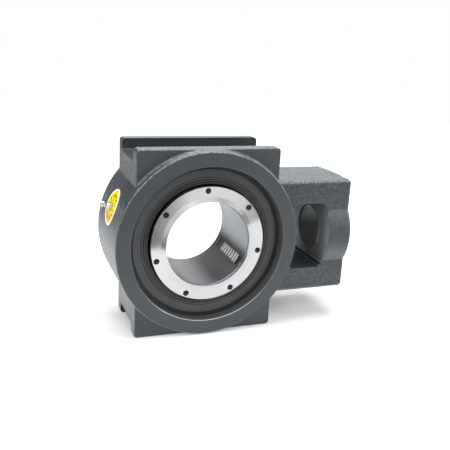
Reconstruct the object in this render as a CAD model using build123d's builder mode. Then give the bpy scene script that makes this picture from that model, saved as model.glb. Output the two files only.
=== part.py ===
from build123d import *
import math
import os

os.makedirs("parts", exist_ok=True)

# Take up bearing unit, in millimetres. The shaft runs along Y and the collar side faces -Y.
# The take up screw pulls along +X. The origin is on the shaft axis, halfway through the housing.

INCH = 25.4

# Shaft, sleeve and collar
shaft_d = 3.4375 * INCH
sleeve_wall = 3.25
sleeve_front = 40.2
sleeve_rear = 38.4
slit_width = 10.0
slit_angle = -31.5
step_count = 7
step_pitch = 6.2
step_rise = 0.6
step_return = 0.8
step_gap = 0.05
hook_height = 2.4
hook_length = 5.0
neck_relief = 0.3

collar_d = 119.4
collar_hub_r = 48.7
collar_hub_rise = 2.4
collar_thickness = 11.8
collar_face = 42.1
collar_shaft_gap = 0.55
collar_gap = 0.2
collar_chamfer = 0.5

backing_d = 113.0
backing_gap = 0.25
backing_lip = 1.3
backing_chamfer = 0.8
wire_width = 1.0
wire_height = 1.7
wire_depth = 0.8
wire_gap = 0.05
wire_to_end = 3.1
wire_opening = 4.0

screw_count = 7
screw_d = 6.0
screw_length = 16.0
screw_circle_r = 55.2
screw_first_angle = 92.6
screw_gap = 0.05
socket_across_flats = 3.0
socket_depth = 3.5
cup_depth = 0.8

# Spherical roller bearing
bearing_d = 160.0
bearing_width = 40.0
bearing_corner_r = 2.1
raceway_r = 74.2
inner_width_margin = 0.3
land_r = 57.5
land_chamfer = 0.8
mid_land_half = 2.2
roller_d = 20.5
roller_length = 14.4
roller_chamfer = 1.0
contact_angle = 10.0
roller_count = 17
race_gap = 0.15
guide_gap = 0.2
flange_gap = 0.3
oil_groove_width = 9.0
oil_groove_depth = 2.2
oil_hole_d = 5.0
oil_hole_count = 3

# Cages and guide ring
cage_thickness = 2.0
cage_offset = 2.5
cage_foot = 3.0
cage_end_gap = 0.4
cage_end_thickness = 1.6
cage_end_drop = 1.5
cage_bend_r = 1.5
pocket_gap = 0.3
guide_ring_r = 66.2

# Seals and retaining rings
seal_fit = 0.05
seal_gap = 0.1
seal_rim_thickness = 3.0
seal_rim_end = 31.95
seal_face = 36.1
seal_face_r = 75.9
seal_web = 2.6
seal_rib_outer_r = 66.9
seal_bore_r = 60.9
seal_rib_depths = (1.0, 1.5)
seal_rib_steps = (0.0, 0.1, 0.5)
seal_wall = 2.3
seal_wall_end = 27.5
lip_gap = 1.6
lip_tip = 21.2
lip_thickness = 1.1
ring_thickness = 3.5
ring_inner_r = 76.4
ring_groove_depth = 2.4
ring_groove_gap = 0.1
ring_seat_gap = 0.15
ring_opening_angle = -15.5
ring_opening = 3.0

# Housing
housing_fit = 0.05
mouth_chamfer = 0.4
barrel_d = 7.5 * INCH
barrel_width = 95.2
barrel_edge_r = 1.5
slide_inset = 21.05
slide_height = 192.7
slide_width = 79.4
slide_corner_r = 3.8
slide_edge_r = 1.5
slot_width = 51.0
slot_depth = 12.2
slot_corner_r = 2.0
root_r = 2.5
nose_end = 161.6
nose_height = 121.2
nose_face = 38.0
nose_draft = 1.4
nose_edge_r = 4.0
boss_d = 94.8
boss_root_r = 3.0
window_start = 95.8
window_end = 133.5
window_height = 72.0
window_corner_r = 5.0
window_edge_r = 2.0
ledge_width = 2.4
ledge_height = 3.2
ledge_root = 1.0
screw_hole_d = 47.6

# Grease nipple and its label
nipple_angle = 160.5
spot_face_depth = 0.9
spot_face_r = 8.0
nipple_thread_d = 0.25 * INCH
nipple_thread_length = 6.0
nipple_thread_gap = 0.05
nipple_hex = 0.3125 * INCH
nipple_hex_height = 4.2
nipple_shoulder = 6.0
nipple_neck_r = 2.35
nipple_neck_end = 8.4
nipple_head_r = 3.25
nipple_head_height = 10.2
nipple_tip_r = 1.9
nipple_height = 12.7
grease_way_d = 5.0
valve_way_d = 1.8
valve_chamber_start = 5.0
valve_mouth_d = 2.0
valve_mouth_length = 0.7
ball_d = 3.0
ball_side_gap = 0.15
ball_seat_gap = 0.05
spring_wire_d = 0.35
spring_turns = 4
label_d = 38.0
label_thickness = 0.2
label_bond = 0.05
label_hole_margin = 0.6

shaft_r = shaft_d / 2
sleeve_r = shaft_r + sleeve_wall
step_top_r = sleeve_r + step_rise
step_span = step_count * step_pitch
inner_half = step_span / 2 + inner_width_margin
bearing_r = bearing_d / 2
bearing_half = bearing_width / 2
slide_length = barrel_d - 2 * slide_inset

# The rollers' barrel shape follows the spherical outer raceway, whose centre is the origin.
tilt = math.radians(contact_angle)
roller_profile_r = raceway_r - race_gap
roller_offset = roller_profile_r - roller_d / 2
pitch_r = roller_offset * math.cos(tilt)
pitch_y = roller_offset * math.sin(tilt)
roller_half = roller_length / 2


def section_point(along, out):
    """A point of a roller row's section, measured along and out from the roller's axis."""
    radius = pitch_r - along * math.sin(tilt) + out * math.cos(tilt)
    height = pitch_y + along * math.cos(tilt) + out * math.sin(tilt)
    return (radius, height)


def saw_tooth(low_r, high_r):
    """The stepped outline shared by the sleeve and the inner ring, front to rear."""
    points = []
    for step in range(step_count):
        start = step * step_pitch - step_span / 2
        points.append((low_r, start))
        points.append((high_r, start + step_pitch - step_return))
    points.append((low_r, step_span / 2))
    return points


def around_shaft(radius, height, angle_deg):
    """A point at a radius from the shaft axis, its angle counted from +X towards +Z."""
    angle = math.radians(angle_deg)
    return Vector(radius * math.cos(angle), height, radius * math.sin(angle))


def write(part, name):
    """Labels a finished piece and writes it."""
    part.label = name
    export_step(part, f"parts/{name}.step")


# Stepped sleeve: a thin bush with a hooked rim, saw tooth steps and one slit along its length
hook_r = sleeve_r + hook_height
hook_end = hook_length - sleeve_front
wire_groove_end = sleeve_rear - wire_to_end
wire_groove_start = wire_groove_end - wire_width - 2 * wire_gap
wire_groove_r = sleeve_r - wire_depth
with BuildPart() as stepped_sleeve:
    with BuildSketch(Plane.XY):
        with BuildLine():
            Polyline(
                (shaft_r, -sleeve_front),
                (hook_r, -sleeve_front),
                (hook_r, hook_end),
                (sleeve_r - neck_relief, hook_end),
                (sleeve_r - neck_relief, -step_span / 2),
                *saw_tooth(sleeve_r, step_top_r),
                (sleeve_r, wire_groove_start),
                (wire_groove_r, wire_groove_start),
                (wire_groove_r, wire_groove_end),
                (sleeve_r, wire_groove_end),
                (sleeve_r, sleeve_rear),
                (shaft_r, sleeve_rear),
                close=True,
            )
        make_face()
    revolve(axis=Axis.Y)
    end_edges = stepped_sleeve.edges().filter_by(GeomType.CIRCLE).group_by(Axis.Y)[-1]
    chamfer(end_edges, collar_chamfer)
    slit_place = around_shaft(sleeve_r, (sleeve_rear - sleeve_front) / 2, slit_angle)
    slit_plane = Plane(origin=slit_place, x_dir=(0, 1, 0), z_dir=around_shaft(1, 0, slit_angle))
    with BuildSketch(slit_plane):
        Rectangle(2 * (sleeve_front + sleeve_rear), slit_width)
    extrude(amount=2 * sleeve_wall + hook_height, both=True, mode=Mode.SUBTRACT)
write(stepped_sleeve.part, "stepped_sleeve")

# Mounting collar: its lip covers the sleeve's front and its groove holds the hooked rim
collar_r = collar_d / 2
collar_back = collar_face - collar_thickness
collar_front = collar_face + collar_hub_rise
collar_bore_r = shaft_r + collar_shaft_gap
collar_groove_r = hook_r + collar_gap
collar_groove_front = sleeve_front + collar_gap
collar_groove_back = -hook_end - collar_gap
collar_back_bore_r = sleeve_r + collar_gap / 2
with BuildPart() as mounting_collar:
    with BuildSketch(Plane.XY):
        with BuildLine():
            Polyline(
                (collar_bore_r, -collar_front),
                (collar_hub_r, -collar_face),
                (collar_r - collar_chamfer, -collar_face),
                (collar_r, collar_chamfer - collar_face),
                (collar_r, -collar_back - collar_chamfer),
                (collar_r - collar_chamfer, -collar_back),
                (collar_back_bore_r, -collar_back),
                (collar_back_bore_r, -collar_groove_back),
                (collar_groove_r, -collar_groove_back),
                (collar_groove_r, -collar_groove_front),
                (collar_bore_r, -collar_groove_front),
                close=True,
            )
        make_face()
    revolve(axis=Axis.Y)
    with BuildSketch(Plane.XZ.offset(collar_face)):
        with PolarLocations(screw_circle_r, screw_count, start_angle=screw_first_angle):
            Circle(screw_d / 2 + screw_gap)
    extrude(amount=-collar_thickness, mode=Mode.SUBTRACT)
write(mounting_collar.part, "mounting_collar")

# Wire ring: sprung into the sleeve's rear groove, it holds the backing collar
wire_inner_r = wire_groove_r + wire_gap
wire_outer_r = wire_inner_r + wire_height
wire_middle = (wire_groove_start + wire_groove_end) / 2
with BuildPart() as wire_ring:
    with BuildSketch(Plane.XY):
        with Locations(((wire_inner_r + wire_outer_r) / 2, wire_middle)):
            Rectangle(wire_height, wire_width)
    revolve(axis=Axis.Y)
    opening_place = around_shaft(wire_outer_r, wire_middle, slit_angle + 180)
    opening_out = around_shaft(1, 0, slit_angle + 180)
    with BuildSketch(Plane(origin=opening_place, x_dir=(0, 1, 0), z_dir=opening_out)):
        Rectangle(2 * wire_width, wire_opening)
    extrude(amount=2 * wire_height, both=True, mode=Mode.SUBTRACT)
write(wire_ring.part, "sleeve_wire_ring")

# Backing collar: takes the sleeve's rear end in its counterbore and backs the inner ring
backing_r = backing_d / 2
backing_start = inner_half + backing_gap
backing_lip_start = sleeve_rear + collar_gap
backing_end = backing_lip_start + backing_lip
backing_groove_r = wire_outer_r + wire_gap
with BuildPart() as backing_collar:
    with BuildSketch(Plane.XY):
        with BuildLine():
            Polyline(
                (collar_back_bore_r + collar_chamfer, backing_start),
                (backing_r - backing_chamfer, backing_start),
                (backing_r, backing_start + backing_chamfer),
                (backing_r, backing_end - backing_chamfer),
                (backing_r - backing_chamfer, backing_end),
                (collar_bore_r, backing_end),
                (collar_bore_r, backing_lip_start),
                (collar_back_bore_r, backing_lip_start),
                (collar_back_bore_r, wire_groove_end),
                (backing_groove_r, wire_groove_end),
                (backing_groove_r, wire_groove_start),
                (collar_back_bore_r, wire_groove_start),
                (collar_back_bore_r, backing_start + collar_chamfer),
                close=True,
            )
        make_face()
    revolve(axis=Axis.Y)
write(backing_collar.part, "backing_collar")

# Grub screws: hexagon socket in front, cup point pressing on the inner ring's face
screw_tip = inner_half + screw_gap
for number in range(screw_count):
    screw_angle = screw_first_angle + number * 360 / screw_count
    screw_foot = around_shaft(screw_circle_r, -screw_tip, screw_angle)
    screw_head = around_shaft(screw_circle_r, -screw_tip - screw_length, screw_angle)
    with BuildPart() as grub_screw:
        with BuildSketch(Plane(origin=screw_foot, x_dir=(1, 0, 0), z_dir=(0, -1, 0))):
            Circle(screw_d / 2)
        extrude(amount=screw_length)
        chamfer(grub_screw.edges().filter_by(GeomType.CIRCLE), cup_depth)
        with BuildSketch(Plane(origin=screw_foot, x_dir=(1, 0, 0), z_dir=(0, -1, 0))):
            Circle(screw_d / 2 - 1.5 * cup_depth)
        extrude(amount=cup_depth, taper=45, mode=Mode.SUBTRACT)
        with BuildSketch(Plane(origin=screw_head, x_dir=(1, 0, 0), z_dir=(0, 1, 0))):
            RegularPolygon(socket_across_flats / 2, 6, major_radius=False)
        extrude(amount=socket_depth, mode=Mode.SUBTRACT)
    write(grub_screw.part, f"grub_screw_{number + 1}")

# Outer ring: spherical raceway, lubrication groove and holes
raceway_edge_r = math.sqrt(raceway_r**2 - bearing_half**2)
with BuildPart() as outer_ring:
    with BuildSketch(Plane.XY):
        with BuildLine():
            Polyline(
                (raceway_edge_r, -bearing_half),
                (bearing_r, -bearing_half),
                (bearing_r, bearing_half),
                (raceway_edge_r, bearing_half),
            )
            ThreePointArc((raceway_edge_r, bearing_half), (raceway_r, 0), (raceway_edge_r, -bearing_half))
        make_face()
    revolve(axis=Axis.Y)
    rim_edges = outer_ring.edges().filter_by(GeomType.CIRCLE)
    fillet(rim_edges.filter_by(lambda edge: edge.radius > bearing_r - 0.01), bearing_corner_r)
    with BuildSketch(Plane.XY):
        with BuildLine():
            Polyline(
                (bearing_r + oil_groove_depth, -oil_groove_width / 2 - oil_groove_depth),
                (bearing_r - oil_groove_depth, -oil_groove_width / 2 + oil_groove_depth),
                (bearing_r - oil_groove_depth, oil_groove_width / 2 - oil_groove_depth),
                (bearing_r + oil_groove_depth, oil_groove_width / 2 + oil_groove_depth),
                close=True,
            )
        make_face()
    revolve(axis=Axis.Y, mode=Mode.SUBTRACT)
    for number in range(oil_hole_count):
        hole_angle = nipple_angle + number * 360 / oil_hole_count
        with BuildSketch(Plane(origin=(0, 0, 0), z_dir=around_shaft(1, 0, hole_angle))):
            Circle(oil_hole_d / 2)
        extrude(amount=bearing_r, mode=Mode.SUBTRACT)
write(outer_ring.part, "outer_ring")

# Inner ring: two raceways, a mid land for the guide ring, end flanges and the stepped bore
inner_arc_y = 2 * pitch_y
inner_arc_r = 2 * pitch_r


def inner_raceway_r(height):
    """Radius of the rear inner raceway at a height along the shaft."""
    return inner_arc_r - math.sqrt(raceway_r**2 - (height - inner_arc_y) ** 2)


flange_foot_y = section_point(roller_half + flange_gap, roller_chamfer - roller_d / 2)[1]
flange_top_y = flange_foot_y + (land_r - inner_raceway_r(flange_foot_y)) * math.tan(tilt)
mid_land_r = inner_raceway_r(mid_land_half)
half_outline = [
    (mid_land_r, mid_land_half),
    (inner_raceway_r((mid_land_half + flange_foot_y) / 2), (mid_land_half + flange_foot_y) / 2),
    (inner_raceway_r(flange_foot_y), flange_foot_y),
    (land_r, flange_top_y),
    (land_r, inner_half - land_chamfer),
    (land_r - land_chamfer, inner_half),
]
bore_low_r = sleeve_r + step_gap
bore_high_r = step_top_r + step_gap
with BuildPart() as inner_ring:
    with BuildSketch(Plane.XY):
        with BuildLine():
            for side in (-1, 1):
                race_start, race_middle, race_end, *flange = [(r, side * y) for r, y in half_outline]
                ThreePointArc(race_start, race_middle, race_end)
                Polyline(race_end, *flange, (bore_low_r, side * inner_half))
                Line((bore_low_r, side * inner_half), (bore_low_r, side * step_span / 2))
            Line((mid_land_r, -mid_land_half), (mid_land_r, mid_land_half))
            Polyline(*saw_tooth(bore_low_r, bore_high_r))
        make_face()
    revolve(axis=Axis.Y)
write(inner_ring.part, "inner_ring")

# Guide ring: floats on the mid land between the rows, its faces along the rollers' ends
guide_bore_r = mid_land_r + guide_gap
end_r, end_y = section_point(-roller_half - guide_gap, roller_chamfer - roller_d / 2)


def guide_half(radius):
    """Half the guide ring's width at a radius."""
    return end_y + (radius - end_r) * math.tan(tilt)


with BuildPart() as guide_ring:
    with BuildSketch(Plane.XY):
        with BuildLine():
            Polyline(
                (guide_bore_r, -guide_half(guide_bore_r)),
                (guide_ring_r, -guide_half(guide_ring_r)),
                (guide_ring_r, guide_half(guide_ring_r)),
                (guide_bore_r, guide_half(guide_bore_r)),
                close=True,
            )
        make_face()
    revolve(axis=Axis.Y)
write(guide_ring.part, "guide_ring")


def row_plane(side, angle_deg, across_axis):
    """A plane at a roller's middle: across its axis, or through it with the axis as local Y."""
    middle = around_shaft(pitch_r, side * pitch_y, angle_deg)
    outward = around_shaft(math.cos(tilt), side * math.sin(tilt), angle_deg)
    roller_axis = around_shaft(-side * math.sin(tilt), math.cos(tilt), angle_deg)
    if across_axis:
        return Plane(origin=middle, x_dir=outward, z_dir=roller_axis)
    return Plane(origin=middle, x_dir=outward, z_dir=outward.cross(roller_axis))


# Window cages: a pressed cup for each row, its pockets cut round the rollers
cage_outline = [
    (-roller_half - cage_end_gap - cage_foot, cage_offset),
    (-roller_half - cage_end_gap - cage_foot, cage_offset + cage_thickness),
    (roller_half + cage_end_gap + cage_end_thickness, cage_offset + cage_thickness),
    (roller_half + cage_end_gap + cage_end_thickness, cage_offset - cage_end_drop),
    (roller_half + cage_end_gap, cage_offset - cage_end_drop),
    (roller_half + cage_end_gap, cage_offset),
]
for row_name, side in (("front", -1), ("rear", 1)):
    with BuildPart() as cage:
        with BuildSketch(Plane.XY) as cage_section:
            with BuildLine():
                corners = [section_point(*corner) for corner in cage_outline]
                Polyline(*[(radius, side * height) for radius, height in corners], close=True)
            make_face()
            bend = cage_section.vertices().sort_by(Axis.Y)[0 if side < 0 else -1]
            fillet(bend, cage_bend_r)
        revolve(axis=Axis.Y)
        for number in range(roller_count):
            roller_angle = (number + side / 4) * 360 / roller_count
            with BuildSketch(row_plane(side, roller_angle, True)):
                Circle(roller_d / 2 + pocket_gap)
            extrude(amount=roller_half + pocket_gap, both=True, mode=Mode.SUBTRACT)
    write(cage.part, f"cage_{row_name}")

# Barrel rollers: two rows of the same roller, half a pitch apart
roller_waist = roller_half - roller_chamfer
roller_edge_r = roller_d / 2 - roller_profile_r + math.sqrt(roller_profile_r**2 - roller_waist**2)
for row_name, side in (("front", -1), ("rear", 1)):
    for number in range(roller_count):
        roller_angle = (number + side / 4) * 360 / roller_count
        roller_plane = row_plane(side, roller_angle, False)
        with BuildPart() as roller:
            with BuildSketch(roller_plane):
                with BuildLine():
                    ThreePointArc(
                        (roller_edge_r, -roller_waist), (roller_d / 2, 0), (roller_edge_r, roller_waist)
                    )
                    Polyline(
                        (roller_edge_r, roller_waist),
                        (roller_edge_r - roller_chamfer, roller_half),
                        (0, roller_half),
                        (0, -roller_half),
                        (roller_edge_r - roller_chamfer, -roller_half),
                        (roller_edge_r, -roller_waist),
                    )
                make_face()
            revolve(axis=Axis(roller_plane.origin, roller_plane.y_dir))
        write(roller.part, f"roller_{row_name}_{number + 1:02d}")

# Seals: a rim between bearing and retaining ring, a ribbed face and a lip over the ring's land
seal_r = bearing_r + housing_fit - seal_fit
rim_inner_r = seal_r - seal_rim_thickness
lip_r = land_r + lip_gap
rib_pitch = (seal_rib_outer_r - seal_bore_r) / 5
rib_edges = [seal_rib_outer_r - step * rib_pitch for step in range(6)]
first_rib, second_rib, third_rib = [seal_face - step for step in seal_rib_steps]
first_groove, second_groove = [seal_face - depth for depth in seal_rib_depths]
seal_outline = [
    (seal_r, bearing_half + seal_gap),
    (seal_r, seal_rim_end),
    (seal_face_r, seal_rim_end),
    (seal_face_r, first_rib),
    (rib_edges[1], first_rib),
    (rib_edges[1], first_groove),
    (rib_edges[2], first_groove),
    (rib_edges[2], second_rib),
    (rib_edges[3], second_rib),
    (rib_edges[3], second_groove),
    (rib_edges[4], second_groove),
    (rib_edges[4], third_rib),
    (rib_edges[5], third_rib),
    (seal_bore_r, seal_wall_end),
    (lip_r, lip_tip),
    (lip_r + lip_thickness, lip_tip - 0.3),
    (seal_bore_r + seal_wall, seal_wall_end + 1.0),
    (seal_bore_r + seal_wall, seal_face - seal_web),
    (seal_face_r - seal_web, seal_face - seal_web),
    (seal_face_r - seal_web, seal_rim_end - seal_web),
    (rim_inner_r, seal_rim_end - seal_web),
    (rim_inner_r, bearing_half + seal_gap),
]
for row_name, side in (("front", -1), ("rear", 1)):
    with BuildPart() as seal:
        with BuildSketch(Plane.XY):
            with BuildLine():
                Polyline(*[(radius, side * height) for radius, height in seal_outline], close=True)
            make_face()
        revolve(axis=Axis.Y)
    write(seal.part, f"seal_{row_name}")

# Retaining rings: even section, sprung into the housing's grooves, one opening each
ring_start = seal_rim_end + ring_seat_gap
groove_r = bearing_r + housing_fit + ring_groove_depth
ring_outer_r = groove_r - ring_groove_gap
ring_height = ring_outer_r - ring_inner_r
for row_name, side in (("front", -1), ("rear", 1)):
    with BuildPart() as retaining_ring:
        with BuildSketch(Plane.XY):
            ring_middle = side * (ring_start + ring_thickness / 2)
            with Locations((ring_inner_r + ring_height / 2, ring_middle)):
                Rectangle(ring_height, ring_thickness)
        revolve(axis=Axis.Y)
        opening_place = around_shaft(ring_outer_r, ring_middle, ring_opening_angle)
        opening_out = around_shaft(1, 0, ring_opening_angle)
        with BuildSketch(Plane(origin=opening_place, x_dir=(0, 1, 0), z_dir=opening_out)):
            Rectangle(2 * ring_thickness, ring_opening)
        extrude(amount=2 * ring_height, both=True, mode=Mode.SUBTRACT)
    write(retaining_ring.part, f"retaining_ring_{row_name}")

# Nose of the housing: a drafted block, both halves drawn from the parting plane
nose_growth = nose_face * math.tan(math.radians(nose_draft))
nose_start = slide_length / 4
with BuildPart() as nose:
    with BuildSketch(Plane.XZ):
        with Locations(((nose_start + nose_end + nose_growth) / 2, 0)):
            Rectangle(nose_end + nose_growth - nose_start, nose_height + 2 * nose_growth)
    extrude(amount=nose_face, taper=nose_draft)
    face_edges = nose.faces().sort_by(Axis.Y)[0].edges()
    end_face = nose.faces().sort_by(Axis.X)[-1]
    corner_edges = end_face.edges().filter_by(lambda edge: abs(edge.center().Z) > nose_height / 4)
    fillet(face_edges.sort_by(Axis.X)[1:] + corner_edges, nose_edge_r)
    mirror(about=Plane.XZ)

# Boss round the take up screw, standing out of the nose on both sides
with BuildPart() as boss:
    with BuildSketch(Plane.YZ.offset(nose_start)):
        Circle(boss_d / 2)
    extrude(amount=nose_end - nose_start)
    fillet(boss.edges().filter_by(GeomType.CIRCLE).sort_by(Axis.X)[-1], nose_edge_r)

# Screw end: nose and boss together, with the window for the nuts of the take up screw
boss_root_z = math.sqrt((boss_d / 2) ** 2 - nose_face**2)
with BuildPart() as screw_end:
    add(nose.part)
    add(boss.part)
    boss_roots = screw_end.edges().filter_by(
        lambda edge: abs(abs(edge.center().Y) - nose_face) < nose_edge_r / 4
        and abs(abs(edge.center().Z) - boss_root_z) < nose_edge_r / 2
    )
    fillet(boss_roots, boss_root_r)
    with BuildSketch(Plane.XZ):
        with Locations(((window_start + window_end) / 2, 0)):
            RectangleRounded(window_end - window_start, window_height, window_corner_r)
    extrude(amount=barrel_width, both=True, mode=Mode.SUBTRACT)
    mouth_edges = screw_end.edges(Select.LAST).filter_by(Axis.Y, reverse=True)
    fillet(mouth_edges, window_edge_r)
    # Ledge left by the core along the foot of the window's end wall
    with BuildSketch(Plane.XZ):
        ledge_side = window_end - ledge_width / 2 + ledge_root / 2
        ledge_foot = -window_height / 2 + ledge_height / 2 - ledge_root / 2
        with Locations((ledge_side, ledge_foot)):
            Rectangle(ledge_width + ledge_root, ledge_height + ledge_root)
    extrude(amount=nose_face - window_edge_r, both=True)

# Slide block: rails above and below and the web between them, its outer edges rounded
with BuildPart() as slide_block:
    with BuildSketch(Plane.XZ):
        RectangleRounded(slide_length, slide_height, slide_corner_r)
    extrude(amount=slide_width / 2, both=True)
    side_faces = slide_block.faces().sort_by(Axis.Y)
    fillet(side_faces[0].edges() + side_faces[-1].edges(), slide_edge_r)

# Housing: one casting of barrel, slide block and screw end
barrel_r = barrel_d / 2
housing_bore_r = bearing_r + housing_fit
ring_groove_start = ring_start - ring_groove_gap
ring_groove_end = ring_start + ring_thickness + ring_groove_gap
barrel_half = barrel_width / 2
nipple_axis = around_shaft(1, 0, nipple_angle)
nipple_foot = around_shaft(barrel_r - spot_face_depth, 0, nipple_angle)
nipple_plane = Plane(origin=nipple_foot, x_dir=(0, 1, 0), z_dir=nipple_axis)


def at_root(edge):
    """True where the slide block or the nose rises from the barrel, or the nose from the block's end."""
    middle = edge.center()
    ends = [edge.position_at(share) for share in (0, 0.5, 1)]
    on_barrel = all(abs(math.hypot(point.X, point.Z) - barrel_r) < 0.01 for point in ends)
    beside_rims = abs(middle.Y) < barrel_half - 1 and abs(middle.Z) > nose_height / 4
    on_block_end = abs(middle.X - slide_length / 2) < 0.1
    on_nose_top = abs(abs(middle.Z) - nose_height / 2) < slide_edge_r
    return (on_barrel and beside_rims) or (on_block_end and on_nose_top)


with BuildPart() as housing:
    add(slide_block.part)
    add(screw_end.part)
    with BuildSketch(Plane.XZ):
        Circle(barrel_r)
    extrude(amount=barrel_half, both=True)
    fillet(housing.edges().filter_by(at_root), root_r)
    rim_edges = housing.edges().filter_by(GeomType.CIRCLE).group_by(Axis.Y)
    fillet(rim_edges[0] + rim_edges[-1], barrel_edge_r)
    # Slide ways for the rails of the take up frame
    with BuildSketch(Plane.YZ):
        with Locations((0, slide_height / 2), (0, -slide_height / 2)):
            RectangleRounded(slot_width, 2 * slot_depth, slot_corner_r)
    extrude(amount=slide_length, both=True, mode=Mode.SUBTRACT)
    # Bearing bore with the grooves of the retaining rings
    with BuildSketch(Plane.XY):
        with BuildLine():
            bore_half = [
                (housing_bore_r, 0),
                (housing_bore_r, ring_groove_start),
                (groove_r, ring_groove_start),
                (groove_r, ring_groove_end),
                (housing_bore_r, ring_groove_end),
                (housing_bore_r, barrel_half - mouth_chamfer),
                (housing_bore_r + 2 * mouth_chamfer, barrel_half + mouth_chamfer),
                (0, barrel_half + mouth_chamfer),
            ]
            Polyline(*[(radius, -height) for radius, height in bore_half])
            Polyline(*bore_half)
            Line(bore_half[-1], (0, -barrel_half - mouth_chamfer))
        make_face()
    revolve(axis=Axis.Y, mode=Mode.SUBTRACT)
    # Hole of the take up screw through the nose's end wall
    with BuildSketch(Plane.YZ.offset((window_start + window_end) / 2)):
        Circle(screw_hole_d / 2)
    extrude(amount=nose_end, mode=Mode.SUBTRACT)
    # Spot face, tapped hole and grease way to the bearing's groove
    with BuildSketch(nipple_plane):
        Circle(spot_face_r)
    extrude(amount=spot_face_r, mode=Mode.SUBTRACT)
    with BuildSketch(nipple_plane):
        Circle(nipple_thread_d / 2)
    extrude(amount=-nipple_thread_length - 1, mode=Mode.SUBTRACT)
    with BuildSketch(nipple_plane):
        Circle(grease_way_d / 2)
    extrude(amount=-(barrel_r - bearing_r), mode=Mode.SUBTRACT)
write(housing.part, "housing")

# Grease nipple: a turned body with hexagon, neck and head, hollow for its valve
nipple_section = Plane(origin=nipple_plane.origin, x_dir=(0, 1, 0), z_dir=Vector(0, 1, 0).cross(nipple_axis))
thread_r = nipple_thread_d / 2 - nipple_thread_gap
valve_way_r = valve_way_d / 2
chamber_r = ball_d / 2 + ball_side_gap
valve_mouth_r = valve_mouth_d / 2
chamber_end = nipple_height - valve_mouth_length - (chamber_r - valve_mouth_r)
with BuildPart() as grease_nipple:
    with BuildSketch(nipple_section):
        with BuildLine():
            Polyline(
                (valve_way_r, -nipple_thread_length),
                (thread_r, -nipple_thread_length),
                (thread_r, nipple_hex_height),
                (nipple_hex / 2 - 0.8, nipple_hex_height),
                (nipple_neck_r, nipple_shoulder),
                (nipple_neck_r, nipple_neck_end),
                (nipple_head_r, nipple_head_height),
                (nipple_tip_r, nipple_height),
                (valve_mouth_r, nipple_height),
                (valve_mouth_r, nipple_height - valve_mouth_length),
                (chamber_r, chamber_end),
                (chamber_r, valve_chamber_start),
                (valve_way_r, valve_chamber_start),
                close=True,
            )
        make_face()
    revolve(axis=Axis(nipple_plane.origin, nipple_axis))
    with BuildSketch(nipple_plane):
        RegularPolygon(nipple_hex / 2, 6, major_radius=False)
        Circle(thread_r, mode=Mode.SUBTRACT)
    extrude(amount=nipple_hex_height)
write(grease_nipple.part, "grease_nipple")

# Valve ball: held against the conical seat behind the nipple's mouth
seat_half_angle = math.radians(45)
seat_apex = nipple_height - valve_mouth_length + valve_mouth_r
ball_height = seat_apex - (ball_d / 2 + ball_seat_gap) / math.sin(seat_half_angle)
ball_centre = nipple_plane.origin + nipple_axis * ball_height
with BuildPart() as nipple_ball:
    with BuildSketch(Plane(origin=ball_centre, x_dir=(0, 1, 0), z_dir=nipple_section.z_dir)):
        with BuildLine():
            ThreePointArc((0, -ball_d / 2), (ball_d / 2, 0), (0, ball_d / 2))
            Line((0, ball_d / 2), (0, -ball_d / 2))
        make_face()
    revolve(axis=Axis(nipple_plane.origin, nipple_axis))
write(nipple_ball.part, "nipple_ball")

# Valve spring: from the chamber's floor to the ball
spring_r = chamber_r - ball_side_gap - spring_wire_d / 2
spring_start = valve_chamber_start + spring_wire_d / 2 + ball_seat_gap
spring_reach = math.sqrt((ball_d / 2 + spring_wire_d / 2) ** 2 - spring_r**2)
spring_length = ball_height - spring_reach - ball_seat_gap - spring_start
with BuildPart() as nipple_spring:
    with BuildLine() as coil:
        spring_foot = nipple_plane.origin + nipple_axis * spring_start
        Helix(spring_length / spring_turns, spring_length, spring_r, spring_foot, nipple_axis)
    with BuildSketch(Plane(origin=coil.line @ 0, z_dir=coil.line % 0)):
        Circle(spring_wire_d / 2)
    sweep(is_frenet=True)
write(nipple_spring.part, "nipple_spring")

# Label: a round sticker laid over the barrel, with a hole for the nipple
label_r = barrel_r + label_bond
with BuildPart() as grease_label:
    with BuildSketch(Plane.XZ):
        Circle(label_r + label_thickness)
        Circle(label_r, mode=Mode.SUBTRACT)
    extrude(amount=label_d, both=True)
    with BuildSketch(Plane(origin=(0, 0, 0), x_dir=(0, 1, 0), z_dir=nipple_axis)):
        Circle(label_d / 2)
        Circle(spot_face_r + label_hole_margin, mode=Mode.SUBTRACT)
    extrude(amount=barrel_d, mode=Mode.INTERSECT)
write(grease_label.part, "grease_label")
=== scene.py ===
import math
import bpy
from mathutils import Matrix, Vector


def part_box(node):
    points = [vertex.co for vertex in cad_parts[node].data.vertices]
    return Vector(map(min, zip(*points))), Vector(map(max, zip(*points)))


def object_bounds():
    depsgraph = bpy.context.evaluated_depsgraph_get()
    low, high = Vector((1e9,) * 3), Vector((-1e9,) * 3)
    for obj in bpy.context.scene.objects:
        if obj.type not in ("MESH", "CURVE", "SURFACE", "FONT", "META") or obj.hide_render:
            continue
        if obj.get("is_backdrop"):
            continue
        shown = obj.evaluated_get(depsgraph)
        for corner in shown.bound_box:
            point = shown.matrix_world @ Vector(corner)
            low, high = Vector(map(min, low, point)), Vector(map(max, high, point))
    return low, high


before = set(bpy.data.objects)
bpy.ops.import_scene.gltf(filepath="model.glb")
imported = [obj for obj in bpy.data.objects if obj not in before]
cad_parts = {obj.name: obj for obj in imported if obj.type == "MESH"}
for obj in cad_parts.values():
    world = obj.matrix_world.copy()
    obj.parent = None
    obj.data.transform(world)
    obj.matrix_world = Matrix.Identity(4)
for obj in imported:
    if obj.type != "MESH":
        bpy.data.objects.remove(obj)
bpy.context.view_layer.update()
bpy.ops.object.select_all(action='DESELECT')
print("frame loaded:", len(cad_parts), "nodes")

mm = 0.001


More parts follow.
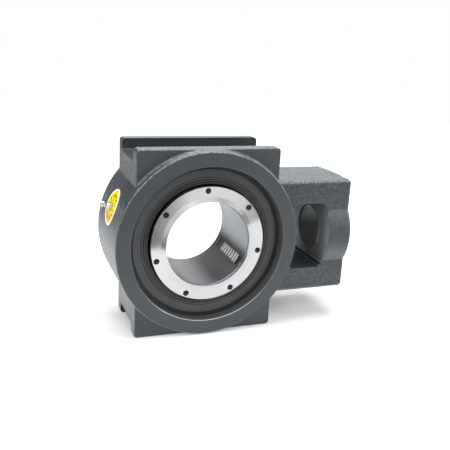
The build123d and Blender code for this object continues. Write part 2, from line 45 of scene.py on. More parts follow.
# Colours are written as sRGB hex, as a picker shows them
def linearColour(hexCode):
    channels = [int(hexCode[place:place + 2], 16) / 255 for place in (1, 3, 5)]
    linear = [c / 12.92 if c <= 0.04045 else ((c + 0.055) / 1.055) ** 2.4 for c in channels]
    return (*linear, 1.0)


# Adds one node with its settings and links; a link is an output socket, or a node for its first
# output, and anything else is a value; i0, i1 and so on are inputs by number
def addNode(tree, kind, settings=None, **inputs):
    node = tree.nodes.new(kind)
    for name, value in (settings or {}).items():
        setattr(node, name, value)
    for name, value in inputs.items():
        key = int(name[1:]) if name[0] == "i" and name[1:].isdigit() else name.replace("_", " ")
        if isinstance(value, bpy.types.Node):
            value = value.outputs[0]
        if isinstance(value, bpy.types.NodeSocket):
            tree.links.new(value, node.inputs[key])
        else:
            node.inputs[key].default_value = value
    return node


def newMaterial(name):
    material = bpy.data.materials.new(name)
    material.use_nodes = True
    material.node_tree.nodes.clear()
    return material, material.node_tree


def useMaterial(material, *names):
    for name in names:
        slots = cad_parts[name].data.materials
        slots.clear()
        slots.append(material)


# Camera: left of the shaft axis and a little above, as the photograph was taken
photoView = {
    "azimuth": 21.09,  # degrees from +Y towards +X
    "elevation": 16.47,
    "roll": 3.12,
    "distance": 659.11 * mm,  # from the middle of the housing's front face
    "focalPixels": 661.4,
    "imagePixels": 450,
    "offCentrePixels": (-14.86, -21.02),
    "sensor": 36.0,
    "nearest": 10 * mm,  # anything nearer to the lens isn't drawn
}


def addCamera(view):
    azimuth, elevation, roll = (math.radians(view[key]) for key in ("azimuth", "elevation", "roll"))
    forward = Vector((math.sin(azimuth) * math.cos(elevation),
                      math.cos(azimuth) * math.cos(elevation), -math.sin(elevation)))
    level = Vector((math.cos(azimuth), -math.sin(azimuth), 0))
    above = level.cross(forward)
    right = math.cos(roll) * level + math.sin(roll) * above
    up = math.cos(roll) * above - math.sin(roll) * level
    target = Vector((0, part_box("housing")[0].y, 0))
    aside, raised = (view["distance"] * pixels / view["focalPixels"]
                     for pixels in view["offCentrePixels"])
    place = target - view["distance"] * forward - aside * right - raised * up
    data = bpy.data.cameras.new("photoCamera")
    data.lens = view["focalPixels"] / view["imagePixels"] * view["sensor"]
    data.sensor_width = view["sensor"]
    data.sensor_fit = 'HORIZONTAL'
    data.clip_start = view["nearest"]
    camera = bpy.data.objects.new("photoCamera", data)
    bpy.context.scene.collection.objects.link(camera)
    camera.matrix_world = (Matrix.Translation(place)
                           @ Matrix((right, up, -forward)).transposed().to_4x4())
    bpy.context.scene.camera = camera


addCamera(photoView)
print("camera placed")

# Node kinds, settings and inputs that the materials share
mathNode, vectorNode, rangeNode = "ShaderNodeMath", "ShaderNodeVectorMath", "ShaderNodeMapRange"
mixNode, noiseNode, bumpNode = "ShaderNodeMix", "ShaderNodeTexNoise", "ShaderNodeBump"
add, minus, times, timesAdd, larger, absolute = ({"operation": word} for word in (
    'ADD', 'SUBTRACT', 'MULTIPLY', 'MULTIPLY_ADD', 'MAXIMUM', 'ABSOLUTE'))
under, over, near = ({"operation": word} for word in ('LESS_THAN', 'GREATER_THAN', 'COMPARE'))
length, distance, dot, cross = ({"operation": word} for word in (
    'LENGTH', 'DISTANCE', 'DOT_PRODUCT', 'CROSS_PRODUCT'))
smoothly = {"interpolation_type": 'SMOOTHSTEP'}
colours, numbers = {"data_type": 'RGBA'}, {"data_type": 'FLOAT'}
fadeInputs = ("From_Min", "From_Max", "To_Min", "To_Max")
noiseSpan = {"From_Min": 0.3, "From_Max": 0.7}  # nearly all of a noise lies between these

# Grey enamel sprayed on sand-cast iron: a semi-gloss skin that follows the grain of the sand and is
# rubbed pale on block ends, with painted highlights, painted shade and painted reflections of the
# floor in places; ring and rails were machined before painting, so their fronts are smooth; the
# housing bore is machined and only oiled
castPaint = {
    "paint": "#4A4E52",
    "paintThin": "#404448",
    "roughness": (0.36, 0.52),
    "ior": 1.5,
    "blotch": {"Scale": 1 / (22 * mm), "Detail": 4.0, "Roughness": 0.6},
    # Real grain is 0.3 mm, drawn coarser so that it shows
    "grain": {"Scale": 1 / (2.6 * mm), "Detail": 3.0, "Roughness": 0.65},
    "grainHeight": 0.5 * mm,
    "grainLost": 0.9,  # how much of the grain is gone from the machined faces
    "swell": {"Scale": 1 / (7 * mm), "Detail": 2.0, "Roughness": 0.5},  # uneven mould wall
    "swellHeight": 0.9 * mm,
    "strokes": {"Scale": 1 / (3.5 * mm), "Detail": 3.0, "Roughness": 0.7},  # scuffs
    "strokeStretch": (1.0, 1.0, 4.0),
    "strokeSlant": -25.0,  # degrees
    "nippleFoot": (-89.8 * mm, 0.0, 31.8 * mm),
    "ledgeShare": 0.7,
    "oiledRoughness": 0.34,
    "pocketRoughness": 0.8,
    # Real feed is 0.2 mm, drawn coarser so that it shows
    "feed": {"Scale": 1 / (1.3 * mm), "Detail": 1.0},
    "feedHeight": 0.05 * mm,
    # Masks that fade in along a measure: where they start and where they are full, and then,
    # if not 0 and 1, how strong they are at those two. Measures that say how a surface faces
    # are parts of its normal, and those of place are from the shaft's axis and the middle plane
    "fades": {
        "frontFacing": {
            "isSquare": (0.9, 0.995),
            "isOutward": (0.5, 0.8),
            "isWall": (0.9, 0.3),
        },
        "endFacing": {"isEnd": (0.8, 0.97)},
        "sideways": {
            "isFlank": (-0.55, -0.95, 0.0, 0.7),
            "leansAside": (-0.6, -0.75),
        },
        "forwards": {"turnsFront": (-0.35, -0.6)},
        "upwards": {
            "isTop": (0.8, 0.97, 0.0, 0.75),
            "turnsUp": (0.35, 0.6),
            "leansUp": (0.1, 0.3, 0.0, 0.6),
            "leansDown": (-0.05, -0.45, 0.0, 0.3),
        },
        "along": {
            "farSide": (-6 * mm, 22 * mm),
            "frontHalf": (6 * mm, -14 * mm),
        },
        "up": {
            "atFoot": (-45 * mm, -70 * mm),
            "sunken": (20 * mm, -8 * mm),
            "highUp": (35 * mm, 65 * mm, 0.25, 1.0),
            "lowDown": (26 * mm, -10 * mm),
        },
        "grain": {
            "speckle": (0.42, 0.62, 0.1, 0.65),
            "peaks": (0.52, 0.70, 0.0, 0.14),
            "pits": (0.50, 0.34, 0.0, 0.6),
            "uneven": (0.3, 0.6, 0.5, 1.0),
        },
        "strokes": {
            "stroke": (0.53, 0.68, 0.0, 0.6),
            "patchy": (0.40, 0.60, 0.6, 1.0),
        },
    },
    # Masks with sharp limits; near has a middle and half a width
    "limits": {
        "across": {
            "onBlock": (under, 76 * mm),
            "pastWindowStart": (over, 95.9 * mm),
            "beforeWindowEnd": (under, 133.6 * mm),
            "nearHoleEdge": (under, 136.0 * mm),
            "beforeHoleEnd": (under, 159.5 * mm),
        },
        "along": {"nearSide": (under, -15 * mm)},
        "depth": {
            "nearMiddle": (under, 25.7 * mm),
            "onRing": (over, 46.5 * mm),
        },
        "up": {
            "lowHalf": (under, 0.0),
            "aboveBoss": (over, 55 * mm),
            "edgeGlintHeight": (near, -4 * mm, 8 * mm),
        },
        "height": {
            "upperRidge": (near, 31.4 * mm, 0.7 * mm),
            "ridgeGap": (near, 33.2 * mm, 1.1 * mm),
            "lowerRidge": (near, 34.9 * mm, 0.7 * mm),
            "inWindow": (under, 36.1 * mm),
            "overWayFloor": (over, 83.0 * mm),
        },
        "radius": {
            "bored": (under, 80.25 * mm),
            "mouth": (under, 80.9 * mm),
            "pastRim": (over, 94.0 * mm),
            "beforeBarrel": (under, 95.6 * mm),
        },
        "screwRadius": {
            "inScrew": (under, 24.3 * mm),
            "holeEdge": (near, 24.8 * mm, 0.5 * mm),
        },
        "fromNipple": {"underNipple": (under, 11 * mm)},
        "sideways": {"facingBarrel": (under, -0.5)},
    },
    # What lies on the paint or shows through it, and painted light and shade, by its mask; each
    # covers those before it
    "layers": {
        "shoulder": "#2C2F32",  # painted shade on the barrel's shoulder by the label
        "dusty": "#92969A",  # painted sheen: what faces up is painted paler, as the grazing light makes it shine
        "pitted": "#2E3134",
        # worn places, with painted highlights and painted reflections of the floor
        "rubbed": "#9CA0A4",
        "slideWay": "#2C2F31",  # painted shade: the ways between the rails are darkened
        "window": "#232629",  # painted shade on the window's walls and floor
        # painted light: the window's end wall is painted paler than its other walls
        "endWall": "#767A7D",
        "farWall": "#A8ADB1",  # painted light: the end wall's far side is paler still, as lit through the window's open back
        "shadow": "#040404",
        # painted highlights on the ridges at the end wall's foot
        "ledge": "#9CA0A4",
        "hole": "#868C8A",  # no paint reached the screw hole
        # darker towards the bottom of the hole, with a painted shadow just inside its far edge
        "greased": "#040404",
        "wornEdge": "#E0E2E2",  # painted highlight on the hole's near edge
        "underNipple": "#F2D820",  # the label's film goes on under the nipple
        "mouth": "#626466",
        "footEdge": "#A6A8A9",  # painted highlight on the bore's mouth at the bottom
        "bored": "#4F4F4E",
    },
}


def paintCasting(look):
    material, tree = newMaterial("greyEnamelOnSandCastIron")
    place = addNode(tree, "ShaderNodeTexCoord")
    position = place.outputs["Object"]
    split = addNode(tree, "ShaderNodeSeparateXYZ", Vector=position)
    facing = addNode(tree, "ShaderNodeSeparateXYZ", Vector=place.outputs["Normal"])
    slanted = addNode(tree, "ShaderNodeMapping", {"vector_type": 'TEXTURE'}, Vector=position,
                      Rotation=(math.radians(look["strokeSlant"]), 0.0, 0.0),
                      Scale=look["strokeStretch"])
    strokes = addNode(tree, noiseNode, Vector=slanted, **look["strokes"])
    blotch, grain, swell = (addNode(tree, noiseNode, Vector=position, **look[name])
                            for name in ("blotch", "grain", "swell"))
    fromNipple = addNode(tree, vectorNode, distance, i0=position, i1=look["nippleFoot"])

    # Measures that the masks go by
    measures = {"grain": grain, "strokes": strokes, "fromNipple": fromNipple.outputs["Value"]}
    measures.update(zip(("across", "along", "up"), split.outputs))
    measures.update(zip(("sideways", "forwards", "upwards"), facing.outputs))
    for name, signed in (("depth", "along"), ("height", "up"), ("endFacing", "sideways"),
                         ("frontFacing", "forwards")):
        measures[name] = addNode(tree, mathNode, absolute, i0=measures[signed])
    for name, first in (("radius", "across"), ("screwRadius", "along")):
        flat = addNode(tree, "ShaderNodeCombineXYZ", X=measures[first], Y=measures["up"])
        measures[name] = addNode(tree, vectorNode, length, i0=flat).outputs["Value"]

    masks = {"whole": 1.0, "grainLost": look["grainLost"], "ledgeShare": look["ledgeShare"]}
    for measure, fades in look["fades"].items():
        for name, span in fades.items():
            masks[name] = addNode(tree, rangeNode, smoothly, Value=measures[measure],
                                  **dict(zip(fadeInputs, span)))
    for measure, limits in look["limits"].items():
        for name, (how, *limit) in limits.items():
            masks[name] = addNode(tree, mathNode, how, i0=measures[measure],
                                  **dict(zip(("i1", "i2"), limit)))
    # Masks made of others
    for name, how, first, *others in (
            # The machined fronts of ring and rails, what is left as cast, and the bore's mouth
            ("faced", larger, "onBlock", "onRing"),
            ("machined", times, "isSquare", "faced", "grainLost"),
            ("rough", minus, "whole", "machined"),
            ("outside", minus, "whole", "bored"),
            ("cast", times, "rough", "outside"),
            ("bare", minus, "mouth", "bored"),
            ("footEdge", times, "mouth", "atFoot"),
            # The window's walls, with the end wall that the screw hole goes through
            ("window", times, "isWall", "pastWindowStart", "beforeWindowEnd", "inWindow"),
            ("endWall", times, "window", "facingBarrel"),
            ("farWall", times, "endWall", "farSide"),
            # The screw hole, darker towards its bottom, with a painted shadow just inside its far
            # edge and a painted highlight on its near edge
            ("hole", times, "inScrew", "pastWindowStart", "beforeHoleEnd"),
            ("lowOrByMouth", larger, "sunken", "nearHoleEdge"),
            ("greased", times, "hole", "lowOrByMouth"),
            ("wornEdge", times, "endWall", "holeEdge", "nearSide", "edgeGlintHeight"),
            ("pocket", larger, "window", "hole"),
            # Painted highlights on two ridges of a core joint along the end wall's foot, and a
            # painted shadow between them
            ("foot", times, "endWall", "lowHalf"),
            ("ridges", larger, "upperRidge", "lowerRidge"),
            ("ledge", times, "ridges", "foot", "ledgeShare"),
            ("shadow", times, "ridgeGap", "foot"),
            # Painted shade on the slide ways above and below
            ("slideWay", times, "onBlock", "nearMiddle", "overWayFloor"),
            # Wear and painted light: scuffs on the block's ends and peaks of the grain are wear;
            # painted highlights on the ring's corner, stronger higher up, and on top corners at the
            # front; painted reflections of the floor on the flank below the label and on the boss
            # where it leans to the floor
            ("scuffed", times, "stroke", "isEnd", "onBlock"),
            ("rim", times, "speckle", "onRing", "pastRim", "beforeBarrel", "highUp"),
            ("chipped", times, "cast", "peaks"),
            ("flankReflection", times, "isFlank", "lowDown", "patchy"),
            ("bossReflection", times, "leansDown", "isOutward"),
            ("topEdgeHighlight", times, "turnsUp", "turnsFront", "aboveBoss", "speckle"),
            ("rubbed", larger, "scuffed", "rim", "chipped", "flankReflection", "bossReflection", "topEdgeHighlight"),
            # Pits in the grain, painted shade on the shoulder, and a painted sheen on what faces up
            ("pitted", times, "cast", "pits"),
            ("shoulder", times, "leansUp", "leansAside", "frontHalf"),
            ("dusty", times, "isTop", "uneven")):
        mask = masks[first]
        for other in others:
            mask = addNode(tree, mathNode, how, i0=mask, i1=masks[other])
        masks[name] = mask

    colour = addNode(tree, mixNode, colours, i0=blotch, i6=linearColour(look["paintThin"]),
                     i7=linearColour(look["paint"]))
    for name, hexCode in look["layers"].items():
        colour = addNode(tree, mixNode, colours, i0=masks[name], i6=colour.outputs[2],
                         i7=linearColour(hexCode))
    gloss = addNode(tree, rangeNode, Value=grain, To_Min=look["roughness"][0],
                    To_Max=look["roughness"][1], **noiseSpan)
    for name, roughness in (("bored", "oiledRoughness"), ("pocket", "pocketRoughness")):
        gloss = addNode(tree, mixNode, numbers, i0=masks[name], i2=gloss, i3=look[roughness])
    hills = addNode(tree, bumpNode, Strength=masks["cast"], Distance=look["swellHeight"],
                    Height=swell)
    grit = addNode(tree, bumpNode, Strength=masks["cast"], Distance=look["grainHeight"],
                   Height=grain, Normal=hills)
    feed = addNode(tree, noiseNode, {"noise_dimensions": '1D'}, W=measures["along"],
                   **look["feed"])
    turned = addNode(tree, bumpNode, Strength=masks["bored"], Distance=look["feedHeight"],
                     Height=feed, Normal=grit)
    skin = addNode(tree, "ShaderNodeBsdfPrincipled", Base_Color=colour.outputs[2],
                   Metallic=masks["bare"], Roughness=gloss, IOR=look["ior"], Normal=turned)
    addNode(tree, "ShaderNodeOutputMaterial", Surface=skin)
    useMaterial(material, "housing")


paintCasting(castPaint)
print("housing painted")

# Collar: steel turned on a lathe and zinc plated, bright with fine rings that draw light out
# into streaks from the middle
turnedZinc = {
    "bright": "#D1D2D3",
    "dull": "#C5C6C8",
    "roughness": (0.165, 0.215),
    "streak": 1.0,
    "facingCone": 0.08,  # how far a face falls off for each metre outwards
    "hubFade": (51.0 * mm, 49.0 * mm),  # outwards from here is the face, inwards the hub
    "hubFacing": (-0.3, -0.7),
    "hubLean": 3.5,
    "hubRoughness": 0.23,
    "edgeReach": 59.2 * mm,
    "edgeShadeColour": "#5C5E60",  # painted shade: the outer chamfer is darkened, as the dark outline round the collar
    "ringWidth": 1.1 * mm,  # real feed is 0.15 mm, drawn coarser so that it shows
    "ringHeight": 0.012 * mm,
}


# Pieces round the shaft: patterns go by the distance from its axis and the place along it
def finishRound(name, look, metallic, *nodes):
    material, tree = newMaterial(name)
    place = addNode(tree, "ShaderNodeTexCoord")
    position = place.outputs["Object"]
    split = addNode(tree, "ShaderNodeSeparateXYZ", Vector=position)
    flat = addNode(tree, "ShaderNodeCombineXYZ", X=split.outputs["X"], Y=split.outputs["Z"])
    radius = addNode(tree, vectorNode, length, i0=flat).outputs["Value"]
    profile = addNode(tree, "ShaderNodeCombineXYZ", X=radius, Y=split.outputs["Y"])
    rings = addNode(tree, noiseNode, Vector=profile, Scale=1 / look["ringWidth"], Detail=2.0,
                    Roughness=0.6)
    # Light is drawn out across the rings: along a bore, outwards on a face
    around = addNode(tree, vectorNode, cross, i0=position, i1=(0.0, 1.0, 0.0))
    across = addNode(tree, vectorNode, cross, i0=around, i1=place.outputs["Normal"])
    colour = addNode(tree, mixNode, colours, i0=rings, i6=linearColour(look["dull"]),
                     i7=linearColour(look["bright"]))
    gloss = addNode(tree, rangeNode, Value=rings, To_Min=look["roughness"][0],
                    To_Max=look["roughness"][1], **noiseSpan)
    normal = addNode(tree, "ShaderNodeNewGeometry").outputs["Normal"]
    lean = None
    # Painted shade on the outer chamfer
    if "edgeReach" in look:
        shadedEdge = addNode(tree, mathNode, over, i0=radius, i1=look["edgeReach"])
        colour = addNode(tree, mixNode, colours, i0=shadedEdge, i6=colour.outputs[2],
                         i7=linearColour(look["edgeShadeColour"]))
    if "ribPitch" in look:
        # Painted shade in the grooves between the ribs, round the lip only
        beat = addNode(tree, mathNode, timesAdd, i0=radius, i1=math.tau / look["ribPitch"],
                       i2=-math.tau * look["firstGroove"] / look["ribPitch"])
        wave = addNode(tree, mathNode, {"operation": 'COSINE'}, i0=beat)
        grooveShade = addNode(tree, rangeNode, smoothly, Value=wave,
                         **dict(zip(fadeInputs, look["grooveFade"])))
        nearLip = addNode(tree, mathNode, under, i0=radius, i1=look["ribReach"])
        grooveShade = addNode(tree, mathNode, times, i0=grooveShade, i1=nearLip)
        colour = addNode(tree, mixNode, colours, i0=grooveShade, i6=colour.outputs[2],
                         i7=linearColour(look["grooveShadeColour"]))
    if "hubFade" in look:
        # The hub's cone is worn almost flat, so it shines much as the face beside it
        facing = addNode(tree, "ShaderNodeSeparateXYZ", Vector=place.outputs["Normal"])
        isFront, onHub = (
            addNode(tree, rangeNode, smoothly, Value=value, **dict(zip(fadeInputs, look[name])))
            for value, name in ((facing.outputs["Y"], "hubFacing"), (radius, "hubFade")))
        hub = addNode(tree, mathNode, times, i0=isFront, i1=onHub)
        gloss = addNode(tree, mixNode, numbers, i0=hub, i2=gloss, i3=look["hubRoughness"])
        lean = addNode(tree, mathNode, times, i0=hub, i1=look["hubLean"])
    if "stepPitch" in look:
        # Each step of the bore has two flanks that lean to the front, one more than the other
        turns = addNode(tree, mathNode, timesAdd, i0=split.outputs["Y"],
                        i1=1 / look["stepPitch"], i2=0.5)
        share = addNode(tree, mathNode, {"operation": 'FRACT'}, i0=turns)
        lean = addNode(tree, rangeNode, smoothly, Value=share,
                       **dict(zip(fadeInputs, look["stepLean"])))
    if lean:
        forward = addNode(tree, vectorNode, {"operation": 'SCALE'}, i0=(0.0, -1.0, 0.0), Scale=lean)
        leaning = addNode(tree, vectorNode, add, i0=normal, i1=forward)
        normal = addNode(tree, vectorNode, {"operation": 'NORMALIZE'}, i0=leaning)
    normal = addNode(tree, bumpNode, Distance=look["ringHeight"], Height=rings, Normal=normal)
    if "facingCone" in look:
        # The tool leaves a flat face a touch conical, so a ring's two sides catch different light
        cone = addNode(tree, mathNode, times, i0=radius, i1=-look["facingCone"])
        normal = addNode(tree, bumpNode, Distance=1.0, Height=cone, Normal=normal)
    skin = addNode(tree, "ShaderNodeBsdfPrincipled", Base_Color=colour.outputs[2],
                   Metallic=metallic, Roughness=gloss, Anisotropic=look.get("streak", 0.0),
                   Tangent=across, Normal=normal)
    addNode(tree, "ShaderNodeOutputMaterial", Surface=skin)
    useMaterial(material, *nodes)


finishRound("zincPlatedTurnedSteel", turnedZinc, 1.0, "mounting_collar")

# Sleeve and backing collar: steel turned and ground smooth, greyer than the plated collar
boredSteel = {
    "bright": "#9DA0A3",
    "dull": "#8E9194",
    "roughness": (0.28, 0.38),
    "streak": 0.2,
    "ringWidth": 1.6 * mm,
    "ringHeight": 0.010 * mm,
}
finishRound("boredSteel", boredSteel, 1.0, "stepped_sleeve", "backing_collar")

# Outer ring, guide ring, rollers and the nipple's ball: hardened steel, ground to a near mirror
groundSteel = {
    "bright": "#B9BBBD",
    "dull": "#AEB0B2",
    "roughness": (0.12, 0.2),
    "streak": 0.3,
    "ringWidth": 1.5 * mm,
    "ringHeight": 0.004 * mm,
}
bearingNodes = [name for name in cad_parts
                if name.startswith(("roller_", "outer_ring", "guide_ring"))]
finishRound("groundBearingSteel", groundSteel, 1.0, *bearingNodes, "nipple_ball")

# Inner ring: the same steel, its stepped bore turned and left satin, so the steps show as stripes
satinSteel = {
    "bright": "#B9BABB",
    "dull": "#ACADAE",
    "roughness": (0.38, 0.5),
    "streak": 0.3,
    "stepPitch": 6.2 * mm,
    "stepLean": (0.3, 0.6, 1.9, 0.3),  # by the share of a step, from one flank to the other
    "ringWidth": 1.5 * mm,
    "ringHeight": 0.006 * mm,
}
finishRound("turnedBearingSteel", satinSteel, 1.0, "inner_ring")

# Retaining rings, wire ring and the nipple's spring: spring steel with a dark phosphate coat,
# matt and a little oily
phosphateSteel = {
    "bright": "#3A3A3B",
    "dull": "#2C2C2D",
    "roughness": (0.35, 0.5),
    "ringWidth": 2.0 * mm,
    "ringHeight": 0.010 * mm,
}
finishRound("phosphatedSpringSteel", phosphateSteel, 0.5, "retaining_ring_front",
            "retaining_ring_rear", "nipple_spring", "sleeve_wire_ring")

# Cages: pressed from low carbon steel sheet, pale grey and satin
pressedSheet = {
    "bright": "#9A9B9C",
    "dull": "#858687",
    "roughness": (0.35, 0.5),
    "ringWidth": 2.5 * mm,
    "ringHeight": 0.020 * mm,
}
finishRound("pressedSteelSheet", pressedSheet, 1.0,
            *[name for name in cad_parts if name.startswith("cage")])

# Seals: nitrile rubber moulded in a polished tool, near black with a faint bloom
mouldedRubber = {
    "bright": "#4F5255",
    "dull": "#44474A",
    "roughness": (0.38, 0.52),
    "ribPitch": 2.4 * mm,
    "firstGroove": 62.7 * mm,
    "ribReach": 68.4 * mm,
    "grooveFade": (-0.3, 0.5),
    "grooveShadeColour": "#0A0A0B",
    "ringWidth": 3.0 * mm,
    "ringHeight": 0.015 * mm,
}
finishRound("mouldedNitrileRubber", mouldedRubber, 0.0, "seal_front", "seal_rear")

# Grub screws: alloy steel blackened in a hot salt bath, black with an oily shine
blackOxide = {
    "bright": "#5C5D5F",
    "dull": "#4A4B4D",
    "roughness": (0.3, 0.42),
    "ringWidth": 1.0 * mm,
    "ringHeight": 0.010 * mm,
}
finishRound("blackOxideScrewSteel", blackOxide, 0.8,
            *[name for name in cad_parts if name.startswith("grub_screw")])

# Grease nipple: free-cutting steel, turned and zinc plated, bright as silver
plainZinc = {
    "bright": "#DCDEE0",
    "dull": "#C6C9CC",
    "roughness": (0.16, 0.28),
    "ringWidth": 0.8 * mm,
    "ringHeight": 0.010 * mm,
}
finishRound("zincPlatedNipple", plainZinc, 1.0, "grease_nipple")
print("metals and rubber done")

# Label: yellow vinyl film printed and die cut, with a satin shine and a pale rim
yellowFilm = {
    "film": "#F2DD0A",
    "foot": "#EDBD58",
    "footFade": (-2 * mm, -6 * mm),
    "rim": "#FFFDDC",
    "rimRadius": 16.6 * mm,
    "ink": "#241A06",
    "inkRing": (10.3 * mm, 13.1 * mm),
    "markCount": 14.0,
    "markLevel": 0.2,  # a mark is where its wave is above this
    "centreAngle": 160.5,
    "barrelRadius": 95.3 * mm,
    "creaseWidth": 5 * mm,
    "creaseHeight": 0.1 * mm,
    "roughness": 0.5,
    "ior": 1.5,
}


def printLabel(look):
    material, tree = newMaterial("printedYellowVinyl")
    angle = math.radians(look["centreAngle"])
    centre = (look["barrelRadius"] * math.cos(angle), 0.0, look["barrelRadius"] * math.sin(angle))
    position = addNode(tree, "ShaderNodeTexCoord").outputs["Object"]
    offset = addNode(tree, vectorNode, minus, i0=position, i1=centre)
    reach = addNode(tree, vectorNode, length, i0=offset).outputs["Value"]
    rise = addNode(tree, vectorNode, dot, i0=offset, i1=(math.sin(angle), 0.0, -math.cos(angle)))
    up = rise.outputs["Value"]
    along = addNode(tree, "ShaderNodeSeparateXYZ", Vector=offset).outputs["Y"]
    turn = addNode(tree, mathNode, {"operation": 'ARCTAN2'}, i0=up, i1=along)
    beat = addNode(tree, mathNode, times, i0=turn, i1=look["markCount"])
    wave = addNode(tree, mathNode, {"operation": 'SINE'}, i0=beat)
    mark = addNode(tree, mathNode, over, i0=wave, i1=look["markLevel"])
    for how, limit in zip((over, under), look["inkRing"]):
        inRing = addNode(tree, mathNode, how, i0=reach, i1=limit)
        mark = addNode(tree, mathNode, times, i0=mark, i1=inRing)
    edge = addNode(tree, mathNode, over, i0=reach, i1=look["rimRadius"])
    low = addNode(tree, rangeNode, smoothly, Value=up, **dict(zip(fadeInputs, look["footFade"])))
    colour = linearColour(look["film"])
    for mask, name in ((low, "foot"), (edge, "rim"), (mark, "ink")):
        layer = addNode(tree, mixNode, colours, i0=mask, i6=colour, i7=linearColour(look[name]))
        colour = layer.outputs[2]
    creases = addNode(tree, noiseNode, Vector=position, Scale=1 / look["creaseWidth"], Detail=2.0)
    lift = addNode(tree, bumpNode, Distance=look["creaseHeight"], Height=creases)
    skin = addNode(tree, "ShaderNodeBsdfPrincipled", Base_Color=colour,
                   Roughness=look["roughness"], IOR=look["ior"], Normal=lift)
    addNode(tree, "ShaderNodeOutputMaterial", Surface=skin)
    useMaterial(material, "grease_label")


printLabel(yellowFilm)
print("label printed")

# Floor: a plain white paper sheet that ends in front of the camera's feet; it keeps the shadow
floorSheet = {
    "paper": "#FFFFFF",
    # Glows: from one distance to another in metres, and how strong they are there
    "glowSeen": (0.13, 0.55, 0.20, 1.0),  # weak near the object, so its shadow stays
    "spotMiddle": (-0.2, 0.2, 0.0),
    "glowMirrored": (0.38, 0.08, 0.0, 0.055),  # what metal mirrors of a bright spot on the left
    "size": (3.6, 2.2),
    "edgePoint": (0.005, -0.338),  # the front edge goes through here, slanting away to the right
    "edgeTurn": -24.9,  # degrees
}


def addFloor(settings):
    turn = math.radians(settings["edgeTurn"])
    half = settings["size"][1] / 2
    middle = (settings["edgePoint"][0] - half * math.sin(turn),
              settings["edgePoint"][1] + half * math.cos(turn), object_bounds()[0][2])
    bpy.ops.mesh.primitive_plane_add(size=1, location=middle, rotation=(0, 0, turn))
    floor = bpy.context.object
    floor.name = "floorSheet"
    floor.scale = (*settings["size"], 1)
    bpy.ops.object.transform_apply(location=True, rotation=True, scale=True)
    material, tree = newMaterial("mattWhitePaper")
    white = linearColour(settings["paper"])
    paper = addNode(tree, "ShaderNodeBsdfDiffuse", Color=white)
    path = addNode(tree, "ShaderNodeLightPath")
    position = addNode(tree, "ShaderNodeTexCoord").outputs["Object"]
    away = addNode(tree, vectorNode, length, i0=position).outputs["Value"]
    fromSpot = addNode(tree, vectorNode, distance, i0=position, i1=settings["spotMiddle"])
    seen, sideGlow = (
        addNode(tree, rangeNode, smoothly, Value=value, **dict(zip(fadeInputs, settings[name])))
        for value, name in ((away, "glowSeen"), (fromSpot.outputs["Value"], "glowMirrored")))
    mirrored = addNode(tree, mathNode, larger, i0=path.outputs["Is Glossy Ray"],
                       i1=path.outputs["Is Transmission Ray"])
    mirrorLift = addNode(tree, mathNode, times, i0=mirrored, i1=sideGlow)
    lift = addNode(tree, mathNode, timesAdd, i0=path.outputs["Is Camera Ray"], i1=seen,
                   i2=mirrorLift)
    glow = addNode(tree, "ShaderNodeEmission", Color=white, Strength=lift)
    both = addNode(tree, "ShaderNodeAddShader", i0=paper, i1=glow)
    addNode(tree, "ShaderNodeOutputMaterial", Surface=both)
    floor.data.materials.append(material)
    floor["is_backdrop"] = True
    bpy.ops.object.select_all(action='DESELECT')


addFloor(floorSheet)
print("floor laid")

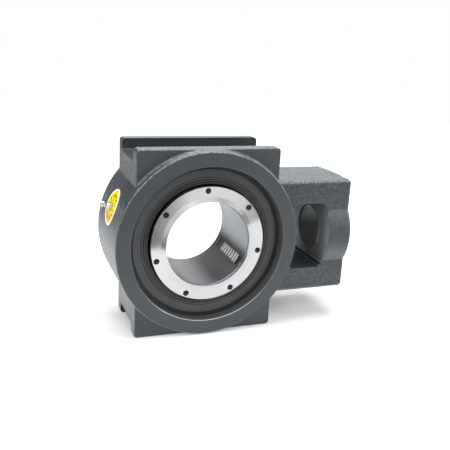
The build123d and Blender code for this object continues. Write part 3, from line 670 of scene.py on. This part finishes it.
# Studio: a white backdrop for the camera, a dark room with pale cards that only gloss sees, and
# softboxes
studio = {
    "wall": "#FFFFFF",
    "backdropGlow": 1.0,
    "roomGlow": 0.01,
    # Towards a card's middle, half its angle in degrees, and its glow
    "cards": [
        ((-0.40, 0.75, 0.55), 28, 0.43),
        ((0.344, 0.893, 0.20), 26, 1.03),
        ((0.35, -0.93, -0.10), 14, 1.3),
        ((-0.40, -0.90, 0.10), 26, 2.26),
        ((0.00, -0.80, 0.60), 35, 2.1),
        ((0.50, -0.65, 0.60), 35, 0.42),
        ((0.50, -0.85, -0.22), 22, 0.28),
        ((-0.95, 0.0, 0.25), 40, 1.69),
        ((0.95, 0.10, 0.25), 40, 2.46),
        ((0.0, 0.1, 1.0), 40, 3.0),
    ],
    "lamps": [
        {"name": "overheadSoftbox", "size": 1.2, "power": 23.0, "place": (0.05, 0.10, 1.5)},
        {"name": "frontSoftbox", "size": 0.8, "power": 7.4, "place": (-0.3, -1.4, 1.0)},
        {"name": "rightSoftbox", "size": 0.6, "power": 3.9, "place": (0.9, -0.9, 1.6)},
        {"name": "lowRightSoftbox", "size": 0.6, "power": 7.1, "place": (1.2, -0.6, 0.6)},
        {"name": "lowLeftSoftbox", "size": 0.6, "power": 9.9, "place": (-1.2, -0.2, 0.45)},
    ],
}


def addStudio(settings):
    world = bpy.data.worlds.new("whiteStudio")
    bpy.context.scene.world = world
    world.use_nodes = True
    tree = world.node_tree
    tree.nodes.clear()
    path = addNode(tree, "ShaderNodeLightPath")
    outward = addNode(tree, "ShaderNodeTexCoord").outputs["Generated"]
    room = 0.0
    for towards, half, brightness in settings["cards"]:
        side = addNode(tree, vectorNode, dot, i0=outward, i1=Vector(towards).normalized())
        card = addNode(tree, rangeNode, smoothly, Value=side.outputs["Value"],
                       From_Min=math.cos(math.radians(half)), From_Max=1.0, To_Max=brightness)
        room = addNode(tree, mathNode, add, i0=card, i1=room)
    mirrored = addNode(tree, mathNode, larger, i0=path.outputs["Is Glossy Ray"],
                       i1=path.outputs["Is Transmission Ray"])
    unseen = addNode(tree, mixNode, numbers, i0=mirrored, i2=settings["roomGlow"], i3=room)
    strength = addNode(tree, mixNode, numbers, i0=path.outputs["Is Camera Ray"], i2=unseen,
                       i3=settings["backdropGlow"])
    glow = addNode(tree, "ShaderNodeBackground", Color=linearColour(settings["wall"]),
                   Strength=strength)
    addNode(tree, "ShaderNodeOutputWorld", Surface=glow)
    for lamp in settings["lamps"]:
        data = bpy.data.lights.new(lamp["name"], 'AREA')
        data.size = lamp["size"]
        data.energy = lamp["power"]
        light = bpy.data.objects.new(lamp["name"], data)
        bpy.context.scene.collection.objects.link(light)
        light.visible_camera = False
        place = Vector(lamp["place"])
        aim = (-place).to_track_quat('-Z', 'Y')
        light.matrix_world = Matrix.Translation(place) @ aim.to_matrix().to_4x4()


addStudio(studio)
bpy.context.scene.view_settings.view_transform = 'Standard'
print("studio lit")
